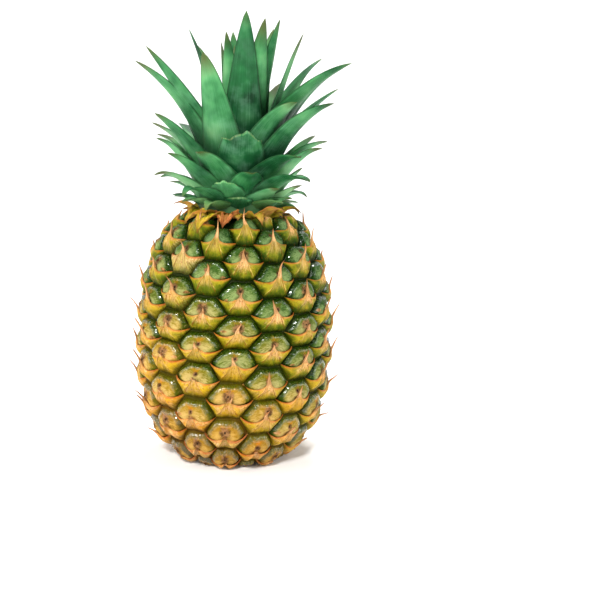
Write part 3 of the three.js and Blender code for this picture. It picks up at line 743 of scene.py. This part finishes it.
# Stops of colour ramps: positions and 0-255 sRGB colours. Those of the flesh, the skin and the
# grooves run over the ripeness, from the fruit's top to its base.
DOME_FLESH = [
    (0.12, (38, 66, 24)), (0.34, (56, 84, 22)), (0.5, (84, 92, 14)),
    (0.68, (138, 112, 20)), (0.86, (154, 114, 26)), (1, (132, 98, 24)),
]
DOME_FROST = [
    (0.1, (104, 128, 80)), (0.34, (130, 144, 86)), (0.5, (150, 148, 92)),
    (0.68, (188, 158, 94)), (0.86, (190, 152, 78)), (1, (188, 148, 70)),
]
DOME_SKIN = [
    (0.1, (32, 66, 18)), (0.38, (56, 92, 16)), (0.56, (98, 108, 14)),
    (0.72, (148, 116, 18)), (0.9, (154, 114, 22)), (1, (128, 96, 28)),
]
DOME_EDGE = [
    (0.1, (16, 44, 4)), (0.4, (22, 52, 2)), (0.6, (44, 64, 2)),
    (0.8, (88, 86, 4)), (0.95, (96, 80, 8)), (1, (80, 68, 14)),
]
DOME_ORANGE = [(0.2, (70, 76, 20)), (0.45, (166, 106, 14)), (0.7, (216, 122, 8)), (1, (184, 96, 20))]
# The grooves between the eyes: the skin's colour, green to brown with ripeness, darkened nearly to black as
# painted shade in the crevices.
GROOVE = [(0.1, (10, 24, 1)), (0.5, (30, 40, 1)), (0.8, (70, 60, 1)), (1, (88, 58, 6))]
DEAD_SKIN = [(0.4, (92, 54, 28)), (0.5, (146, 98, 56)), (0.62, (198, 150, 100))]
BRACT_RIPE = [
    (0.05, (134, 134, 28)), (0.3, (162, 148, 28)), (0.5, (182, 156, 38)),
    (0.68, (198, 158, 26)), (0.85, (208, 150, 36)), (1, (200, 134, 44)),
]
BRACT_GREEN = [
    (0.05, (60, 84, 10)), (0.3, (92, 106, 10)), (0.5, (128, 122, 14)),
    (0.68, (164, 130, 18)), (0.85, (164, 116, 26)), (1, (144, 98, 34)),
]
# Painted shade: the bract's flesh darkens nearly to black at its foot, where it tucks against the dome below.
BRACT_FOOT_SHADE = [
    (0.05, (22, 44, 1)), (0.4, (54, 68, 1)), (0.7, (100, 86, 1)), (0.9, (106, 78, 6)), (1, (98, 68, 12)),
]
PAPER = [(0.36, (152, 80, 44)), (0.46, (218, 154, 98)), (0.6, (240, 204, 148))]
SPINE = [(0.32, (152, 86, 48)), (0.46, (216, 160, 106)), (0.62, (238, 204, 152))]
LEAF = [
    (0.22, (8, 52, 26)), (0.34, (30, 98, 52)), (0.45, (80, 148, 92)), (0.57, (130, 184, 128)),
    (0.75, (172, 206, 144)),
]
COLLAR = [
    (0.3, (140, 144, 24)), (0.5, (212, 186, 48)), (0.63, (226, 178, 96)), (0.8, (196, 118, 66)),
    (0.98, (112, 58, 30)),
]
CORE = [(0.3, (28, 62, 36)), (0.7, (60, 104, 58))]
STALK = [(0.25, (112, 80, 40)), (0.5, (178, 142, 82)), (0.75, (214, 188, 128))]


def srgb(r, g, b):
    """A linear colour from 0-255 sRGB numbers."""
    def linear(c):
        c /= 255
        return c / 12.92 if c <= 0.04045 else ((c + 0.055) / 1.055) ** 2.4
    return (linear(r), linear(g), linear(b), 1)


# ---- materials ----


class Shader:
    """Short ways to add and join nodes. Patterns that a material's parts share are kept on it."""

    def __init__(self, name):
        self.material = bpy.data.materials.new(name)
        self.material.use_nodes = True
        self.tree = self.material.node_tree
        self.bsdf = self.tree.nodes["Principled BSDF"]
        self.color = None

    def node(self, kind, *values, **settings):
        """A new node with its settings, and its first sockets fed with the values."""
        node = self.tree.nodes.new(kind)
        for key, setting in settings.items():
            setattr(node, key, setting)
        for socket, value in zip(node.inputs, values):
            self.feed(value, socket)
        return node

    def link(self, source, target):
        self.tree.links.new(source, target)

    def feed(self, value, socket):
        """Links an output to the socket, or sets the socket to a number or an sRGB colour."""
        if hasattr(value, "is_linked"):
            self.link(value, socket)
        else:
            socket.default_value = srgb(*value) if isinstance(value, tuple) else value

    def value(self, name):
        """A value that the mesh carries at its points."""
        return self.node("ShaderNodeAttribute", attribute_name=name).outputs["Fac"]

    def keep_values(self, *names):
        for name in names:
            setattr(self, name, self.value(name))

    def math(self, operation, *numbers):
        return self.node("ShaderNodeMath", *numbers, operation=operation).outputs[0]

    def times(self, a, b):
        return self.math("MULTIPLY", a, b)

    def plus(self, value, other, share=1):
        """The value and a share of another."""
        return self.math("MULTIPLY_ADD", other, share, value)

    def stir(self, value, noise, share):
        """The value, moved both ways by a share of a noise round 0.5."""
        return self.plus(value, self.math("SUBTRACT", noise, 0.5), share)

    def total(self, *parts):
        """The sum of values, each times its weight."""
        value, *others = [self.times(part, weight) for part, weight in parts]
        for other in others:
            value = self.plus(value, other)
        return value

    def span(self, value, low, high, to_low=0, to_high=1):
        """Leads smoothly from one number to another while the value goes from low to high."""
        numbers = (value, low, high, to_low, to_high)
        return self.node("ShaderNodeMapRange", *numbers, interpolation_type="SMOOTHSTEP").outputs[0]

    def ramp(self, value, stops):
        node = self.node("ShaderNodeValToRGB", value)
        elements = node.color_ramp.elements
        while len(elements) < len(stops):
            elements.new(0.5)
        for element, (position, color) in zip(elements, stops):
            element.position = position
            element.color = srgb(*color)
        return node.outputs[0]

    def mix(self, share, a, b):
        node = self.node("ShaderNodeMix", data_type="RGBA")
        for name, value in (("Factor", share), ("A", a), ("B", b)):
            self.feed(value, node.inputs[name])
        return node.outputs[2]

    def noise(self, scale, detail, roughness, vector=None):
        node = self.node("ShaderNodeTexNoise")
        node.inputs["Scale"].default_value = scale
        node.inputs["Detail"].default_value = detail
        node.inputs["Roughness"].default_value = roughness
        place = vector or self.node("ShaderNodeTexCoord").outputs["Object"]
        self.link(place, node.inputs["Vector"])
        return node.outputs["Fac"]

    def vector(self, x, y, z):
        return self.node("ShaderNodeCombineXYZ", x, y, z).outputs[0]

    def coat(self, share, color):
        """Covers a share of the colour so far with another."""
        self.color = self.mix(share, self.color, color)

    def surface(self, roughness, specular=0.5):
        self.link(self.color, self.bsdf.inputs["Base Color"])
        self.link(roughness, self.bsdf.inputs["Roughness"])
        self.bsdf.inputs["Specular IOR Level"].default_value = specular

    def bump(self, height, distance, strength):
        node = self.node("ShaderNodeBump")
        node.inputs["Distance"].default_value = distance
        node.inputs["Strength"].default_value = strength
        self.link(height, node.inputs["Height"])
        self.link(node.outputs[0], self.bsdf.inputs["Normal"])


def scar_patterns(s):
    """The distance to the flower's scar, the way away from it, and a vector round it."""
    offset = s.vector(s.value("side"), s.value("rise"), 0)
    s.scar = s.node("ShaderNodeVectorMath", offset, operation="LENGTH").outputs["Value"]
    way = s.node("ShaderNodeVectorMath", offset, operation="NORMALIZE").outputs[0]
    s.over, s.upward, _ = s.node("ShaderNodeSeparateXYZ", way).outputs
    s.round_scar = s.vector(s.over, s.upward, s.total((s.scar, 0.9), (s.tone, 9)))


def dome_patterns(s):
    s.keep_values("rim", "tone")
    s.mottle = s.noise(330, 4, 0.65)
    s.blotch = s.noise(130, 3, 0.6)
    scar_patterns(s)
    s.hair = s.noise(10, 4, 0.7, s.round_scar)
    s.sector = s.noise(2.6, 3, 0.6, s.round_scar)
    s.age = s.stir(s.plus(s.value("ripe"), s.tone, 0.09), s.noise(45, 2, 0.5), 0.35)
    s.dead = s.stir(s.value("dead"), s.blotch, 1.6)


def dome_flesh(s):
    """Flesh with rays of pale frost round the scar, and orange glints."""
    pale = s.total((s.hair, 0.6), (s.sector, 0.3), (s.blotch, 0.35), (s.upward, -0.12))
    s.color = s.mix(s.span(pale, 0.53, 0.73), s.ramp(s.age, DOME_FLESH), s.ramp(s.age, DOME_FROST))
    glow = s.times(s.span(s.upward, 0.6, 1), s.span(s.hair, 0.4, 0.54))
    warm = s.times(s.span(s.plus(s.mottle, s.blotch, 0.4), 0.74, 0.82), s.span(s.age, 0.35, 0.7))
    warm = s.times(warm, s.span(s.math("ABSOLUTE", s.over), 0.35, 0.8, 1, 0))
    s.coat(s.times(s.math("MAXIMUM", glow, warm), 0.6), s.ramp(s.age, DOME_ORANGE))


def dome_brim(s):
    inward = s.stir(s.stir(s.rim, s.sector, 0.45), s.mottle, 0.25)
    s.coat(s.span(inward, 0.45, 0.8, 0, 0.55), s.ramp(s.age, DOME_SKIN))
    s.coat(s.span(inward, 0.62, 0.88), s.ramp(s.age, DOME_EDGE))


def dome_marks(s):
    """Pale dots, the flower's scar, dead patches, and the groove round the dome in the skin's colour darkened
    with painted shade.
    """
    dot = s.noise(900, 1, 0.5)
    s.coat(s.span(dot, 0.62, 0.7, 0, 0.35), s.ramp(s.age, DOME_FROST))
    ring = s.times(s.span(s.tone, -0.2, 0.6, 0.04, 0.11), s.span(s.hair, 0.3, 0.6, 0.5, 1.5))
    hurt = s.mix(s.span(s.mottle, 0.4, 0.6), (74, 46, 28), (150, 110, 74))
    s.coat(s.span(s.math("SUBTRACT", s.scar, ring), 0, 0.035, 0.9, 0), hurt)
    s.coat(s.span(s.scar, 0.012, 0.042, 0.95, 0), (42, 26, 16))
    s.coat(s.span(s.dead, 0.42, 0.75, 0, 0.85), s.ramp(s.mottle, DEAD_SKIN))
    # painted shade in the groove between the eyes
    s.coat(s.span(s.rim, 0.88, 1.02), s.ramp(s.age, GROOVE))


def dome_roughness(s):
    smooth_rim = s.times(s.span(s.rim, 0.62, 0.76), s.span(s.rim, 0.88, 0.96, 1, 0))
    smooth_rim = s.times(smooth_rim, s.span(s.hair, 0.36, 0.48))
    rough = s.math("SUBTRACT", s.plus(0.36, s.mottle, 0.3), s.times(smooth_rim, 0.42))
    rough = s.plus(rough, s.span(s.dead, 0.4, 0.6, 0, 0.45))
    return s.math("MAXIMUM", rough, 0.08)


def dome_material(name, specular):
    s = Shader(name)
    dome_patterns(s)
    dome_flesh(s)
    dome_brim(s)
    dome_marks(s)
    s.surface(dome_roughness(s), specular)
    relief = s.plus(s.total((s.hair, 0.18), (s.blotch, 0.4)), s.mottle, 0.6)
    relief = s.times(relief, s.span(s.rim, 0.62, 0.76, 1, 0.15))
    beads = s.times(s.noise(5.5, 1, 0.5, s.round_scar), s.span(s.rim, 0.62, 0.76))
    s.bump(s.plus(relief, beads, 0.7), 0.0013, 0.75)
    return s.material


def bract_patterns(s):
    s.keep_values("margin", "across", "spine", "tone", "dry")
    s.middle = s.math("ABSOLUTE", s.across)
    along_fibres = s.vector(s.times(s.across, 11), s.times(s.margin, 1.2), s.times(s.tone, 9))
    s.fibre = s.noise(3.2, 3, 0.7, along_fibres)
    along_bract = s.vector(s.times(s.across, 1.7), s.margin, s.times(s.tone, 17))
    s.uneven = s.noise(1.7, 3, 0.6, along_bract)
    s.blotch = s.noise(150, 4, 0.65)
    s.mottle = s.noise(420, 3, 0.6)
    s.age = s.stir(s.plus(s.value("ripe"), s.tone, 0.1), s.noise(55, 2, 0.5), 0.4)
    s.up = s.stir(s.stir(s.value("level"), s.fibre, 0.5), s.blotch, 0.4)
    s.habit = s.math("SINE", s.times(s.tone, 23))


def bract_flesh(s):
    sunny = s.total((s.uneven, 0.7), (s.blotch, 0.5))
    flesh = s.mix(s.span(s.plus(sunny, s.up, 0.25), 0.58, 0.86),
                  s.ramp(s.age, BRACT_GREEN), s.ramp(s.age, BRACT_RIPE))
    # painted shade at the bract's foot, blending into the flesh further up
    s.color = s.mix(s.span(s.up, 0.02, 0.42), s.ramp(s.age, BRACT_FOOT_SHADE), flesh)


def bract_paper(s):
    """Papery skin up the middle, and all over where a bract has dried."""
    paper = s.ramp(s.fibre, PAPER)
    wide = s.stir(s.middle, s.uneven, 0.8)
    tan = s.times(s.span(wide, 0.25, 0.7, 1, 0), s.span(s.up, 0.35, 0.95))
    tan = s.times(tan, s.span(s.plus(s.fibre, s.blotch, 0.6), 0.58, 0.82, 0.25, 1))
    tan = s.times(tan, s.span(s.habit, -0.9, 0.4, 0.35, 1))
    s.coat(tan, paper)
    worn = s.mix(s.span(s.plus(s.blotch, s.mottle, 0.5), 0.66, 0.84), paper, s.ramp(s.age, BRACT_RIPE))
    straw = s.mix(s.span(s.fibre, 0.35, 0.6), (150, 118, 62), (212, 190, 132))
    worn = s.mix(s.span(s.dry, 0.75, 1, 0, 0.7), worn, straw)
    s.coat(s.times(s.dry, s.span(s.up, 0.05, 0.7, 0.1, 0.95)), worn)


def bract_ribs(s):
    """Two pale ribs, partly their own colour and partly a painted highlight along the raised ribs, with a
    brown scratch beside each, and brown dots.
    """
    place = s.plus(RIB_TOP, s.math("SUBTRACT", 1, s.margin), RIB_SPREAD)
    offset = s.stir(s.math("SUBTRACT", s.middle, place), s.uneven, 0.3)
    seen = s.times(s.span(s.up, 0.15, 0.5), s.span(s.uneven, 0.42, 0.56))
    rib = s.times(s.span(s.math("ABSOLUTE", offset), 0, 0.05, 1, 0), seen)
    # pale rib colour, partly a painted highlight along the raised rib
    s.coat(s.times(rib, 0.65), (226, 194, 112))
    beside = s.math("ABSOLUTE", s.plus(offset, 0.07))
    scratch = s.times(s.span(beside, 0, 0.045, 1, 0), s.span(s.fibre, 0.36, 0.48))
    scratch = s.times(scratch, s.span(s.up, 0.2, 0.4))
    s.coat(s.times(scratch, 0.8), (132, 60, 22))
    dots = s.noise(800, 1, 0.5)
    s.coat(s.span(dots, 0.62, 0.7, 0, 0.5), (112, 66, 22))


def bract_margin(s):
    """A rusty line along the margin, and the spine's straw colour with its brown tip."""
    brim = s.stir(s.margin, s.uneven, 0.7)
    tips = s.times(s.span(s.middle, 0.66, 0.95), s.span(s.margin, 0.35, 0.8))
    line = s.math("MAXIMUM", s.span(brim, 0.72, 0.98), tips)
    line = s.times(line, s.span(s.spine, 0, 0.15, 1, 0))
    rusty = s.span(s.plus(s.middle, s.blotch, 0.9), 0.75, 1.35)
    s.coat(s.times(line, 0.85), s.mix(rusty, (222, 166, 98), (168, 78, 36)))
    spine = s.ramp(s.fibre, SPINE)
    spine = s.mix(s.span(s.margin, 0.8, 1, 0, 0.6), spine, (180, 108, 60))
    spine = s.mix(s.span(s.habit, 0.2, 1, 0, 0.5), spine, (150, 106, 64))
    s.coat(s.span(s.spine, 0, 0.16), spine)
    s.coat(s.span(s.spine, 0.75, 1, 0, 0.6), (112, 66, 36))


def bract_material():
    s = Shader("bract")
    bract_patterns(s)
    bract_flesh(s)
    bract_paper(s)
    bract_ribs(s)
    bract_margin(s)
    s.surface(s.plus(0.3, s.mottle, 0.3), 0.09)
    s.bump(s.total((s.fibre, 0.8), (s.blotch, 0.6), (s.mottle, 0.4)), 0.0014, 0.8)
    return s.material


def leaf_green(s):
    hue = s.plus(s.times(s.broad, 0.8), s.tone, 0.08)
    hue = s.stir(s.stir(hue, s.vein, 0.13), s.along, 0.1)
    bloom = s.span(s.plus(s.times(s.vein, 0.4), s.fine, 0.8), 0.5, 0.8)
    bloom = s.times(bloom, s.span(s.along, 0.2, 0.8, 0.45, 0.1))
    s.color = s.mix(bloom, s.ramp(hue, LEAF), (120, 170, 138))


def leaf_marks(s):
    """Painted shade towards each leaf's root, strongest on the upper leaves, dark margins, dry tips, pale
    lowest leaves, and torn ends.
    """
    # painted shade: darker towards each leaf's root, where the leaves overlap
    root_shade = s.times(s.span(s.along, 0.15, 0.6, 0.85, 0), s.span(s.share, 0.3, 0.75, 0.35, 1))
    s.coat(s.times(root_shade, s.math("SUBTRACT", 1, s.torn)), (6, 36, 24))
    line = s.span(s.math("ABSOLUTE", s.across), 0.88, 1)
    s.coat(s.times(line, 0.7), (16, 56, 20))
    old = s.plus(s.stir(s.along, s.broad, 0.3), s.tone, 0.08)
    s.coat(s.span(old, 0.8, 1, 0, 0.9), (78, 82, 38))
    lowest = s.times(s.span(s.share, 0, 0.12, 0.45, 0), s.span(s.broad, 0.3, 0.6))
    s.coat(lowest, (112, 132, 70))
    end = s.span(s.stir(s.torn, s.vein, 0.2), 0.985, 1.03)
    s.coat(s.times(end, 0.6), s.mix(s.vein, (96, 116, 56), (190, 198, 138)))


def leaf_material():
    s = Shader("leaf")
    s.keep_values("along", "across", "share", "tone", "torn")
    s.vein = s.noise(2.6, 3, 0.6, s.vector(s.times(s.across, 18), s.times(s.along, 1.5), s.times(s.tone, 9)))
    s.fine = s.noise(110, 3, 0.6)
    s.broad = s.noise(32, 3, 0.55)
    leaf_green(s)
    leaf_marks(s)
    s.surface(s.plus(0.28, s.fine, 0.3), 0.2)
    s.bump(s.total((s.vein, 0.7), (s.noise(420, 2, 0.5), 0.2)), 0.0006, 0.5)
    return s.material


def collar_material():
    s = Shader("collar")
    s.keep_values("along", "across", "tone")
    fibre = s.noise(3, 4, 0.65, s.vector(s.times(s.across, 9), s.along, s.times(s.tone, 7)))
    blotch = s.noise(160, 3, 0.6)
    age = s.plus(s.plus(s.times(fibre, 0.6), blotch, 0.5), s.tone, 0.22)
    s.color = s.ramp(s.plus(age, s.along, 0.12), COLLAR)
    s.coat(s.span(s.math("ABSOLUTE", s.across), 0.75, 1, 0, 0.7), (170, 88, 40))
    s.coat(s.span(s.along, 0.75, 1, 0, 0.8), (130, 76, 38))
    s.surface(s.plus(0.45, fibre, 0.2), 0.2)
    s.bump(s.plus(fibre, blotch, 0.6), 0.0012, 0.9)
    return s.material


def core_material():
    s = Shader("crown_core")
    broad = s.noise(60, 3, 0.5)
    s.color = s.ramp(broad, CORE)
    s.surface(s.plus(0.5, broad, 0.2))
    s.bump(broad, 0.001, 0.4)
    return s.material


def stalk_material():
    s = Shader("stalk")
    grain = s.noise(350, 4, 0.65)
    tint = s.total((grain, 0.6), (s.noise(90, 3, 0.5), 0.4))
    s.color = s.ramp(tint, STALK)
    s.surface(s.plus(0.65, grain, 0.2))
    s.bump(grain, 0.0008, 0.9)
    return s.material


# ---- pieces ----


def finish_piece(piece, node, material):
    piece.data.materials.append(material)
    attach(piece, "root")
    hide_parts(node)


fruit_eyes = make_fruit()
finish_piece(fruit_eyes, "fruit", dome_material("dome", 0.08))
shine_rims(fruit_eyes, dome_material("dome_rim", 0.75))
finish_piece(make_bracts(), "fruit", bract_material())
finish_piece(make_collar(), "fruit", collar_material())
finish_piece(make_leaves(), "crown", leaf_material())
finish_piece(make_core(), "crown", core_material())
finish_piece(make_stalk(), "stalk", stalk_material())

# ---- studio ----

FLOOR_RADIUS, FLOOR_LEVEL = 1600, -0.2
FLOOR_FORWARD = 700  # how far the floor's middle lies in front of the fruit
BEND_RADIUS, BEND_STEPS, WALL_TOP = 600, 8, 2600
FLOOR_COLOR, FLOOR_ROUGHNESS = (0.93, 0.93, 0.93, 1), 0.9
LIGHTS_AIM = (0, 0, 0.14)  # metres
LIGHTS = [  # name, place and size in metres, power in watts
    ("key", (-0.3, -1.25, 1.05), 0.26, 24),
    ("fill_right", (1.2, -0.6, 0.5), 0.6, 6),
    ("fill_left", (-1.2, -0.5, 0.5), 0.6, 7),
    ("top", (0.1, 0.5, 1.4), 0.6, 20),
]
WORLD_STRENGTH = 0.12
GAMMA = 0.92


def make_floor():
    """A pale round floor that curves up into a wall beyond the lights."""
    build = Build()
    profile = [(FLOOR_RADIUS, FLOOR_LEVEL)]
    for step in range(1, BEND_STEPS + 1):
        angle = step / BEND_STEPS * math.pi / 2
        profile.append((FLOOR_RADIUS + BEND_RADIUS * math.sin(angle),
                        FLOOR_LEVEL + BEND_RADIUS - BEND_RADIUS * math.cos(angle)))
    profile.append((FLOOR_RADIUS + BEND_RADIUS, WALL_TOP))
    radius, height = np.array(profile).T
    ring = at_azimuth(radius[:, None], full_turn(96)[None, :], height[:, None])
    index = build.add(ring - [0, FLOOR_FORWARD, 0])
    build.grid(index, around=True)
    middle = build.add([[0, -FLOOR_FORWARD, FLOOR_LEVEL]])[0]
    build.fan(middle, index[0], flip=True)
    floor = build.object("floor")
    s = Shader("floor")
    s.bsdf.inputs["Base Color"].default_value = FLOOR_COLOR
    s.bsdf.inputs["Roughness"].default_value = FLOOR_ROUGHNESS
    floor.data.materials.append(s.material)


def make_lights():
    for name, place, size, power in LIGHTS:
        data = bpy.data.lights.new(name, "AREA")
        data.shape = "DISK"
        data.size = size
        data.energy = power
        light = bpy.data.objects.new(name, data)
        light.location = place
        way = Vector(LIGHTS_AIM) - Vector(place)
        light.rotation_euler = way.to_track_quat("-Z", "Y").to_euler()
        bpy.context.scene.collection.objects.link(light)


def make_world():
    world = bpy.data.worlds.new("studio")
    world.use_nodes = True
    background = world.node_tree.nodes["Background"]
    background.inputs["Color"].default_value = (1, 1, 1, 1)
    background.inputs["Strength"].default_value = WORLD_STRENGTH
    bpy.context.scene.world = world
    bpy.context.scene.view_settings.view_transform = "Standard"
    bpy.context.scene.view_settings.gamma = GAMMA


# It stands in front and a little above, and sees the middle of the widest level at AIM_PIXEL.
IMAGE_SIZE = 600
FOCAL_PIXELS = 773
SENSOR_WIDTH = 36
NEAREST_SEEN = 0.01  # metres
CAMERA_DISTANCE = 525
CAMERA_ELEVATION = 13
AIM_PIXEL = (235, 345)
CAMERA_ROLL = 1.2


def make_camera():
    data = bpy.data.cameras.new("camera")
    data.sensor_width = SENSOR_WIDTH
    data.lens = FOCAL_PIXELS / IMAGE_SIZE * SENSOR_WIDTH
    data.clip_start = NEAREST_SEEN
    camera = bpy.data.objects.new("camera", data)
    elevation = math.radians(CAMERA_ELEVATION)
    target = Vector((0, 0, WIDEST_Z * MM))
    back = Vector((0, -math.cos(elevation), math.sin(elevation)))
    place = target + back * CAMERA_DISTANCE * MM
    look = (-back).to_track_quat("-Z", "Y").to_matrix()
    half = IMAGE_SIZE / 2
    seen = Vector((AIM_PIXEL[0] - half, half - AIM_PIXEL[1], -FOCAL_PIXELS)).normalized()
    turn = seen.rotation_difference(Vector((0, 0, -1))).to_matrix()
    roll = Matrix.Rotation(math.radians(CAMERA_ROLL), 3, "Z")
    camera.matrix_world = Matrix.Translation(place) @ (look @ roll @ turn).to_4x4()
    bpy.context.scene.collection.objects.link(camera)
    bpy.context.scene.camera = camera


make_floor()
make_lights()
make_world()
make_camera()
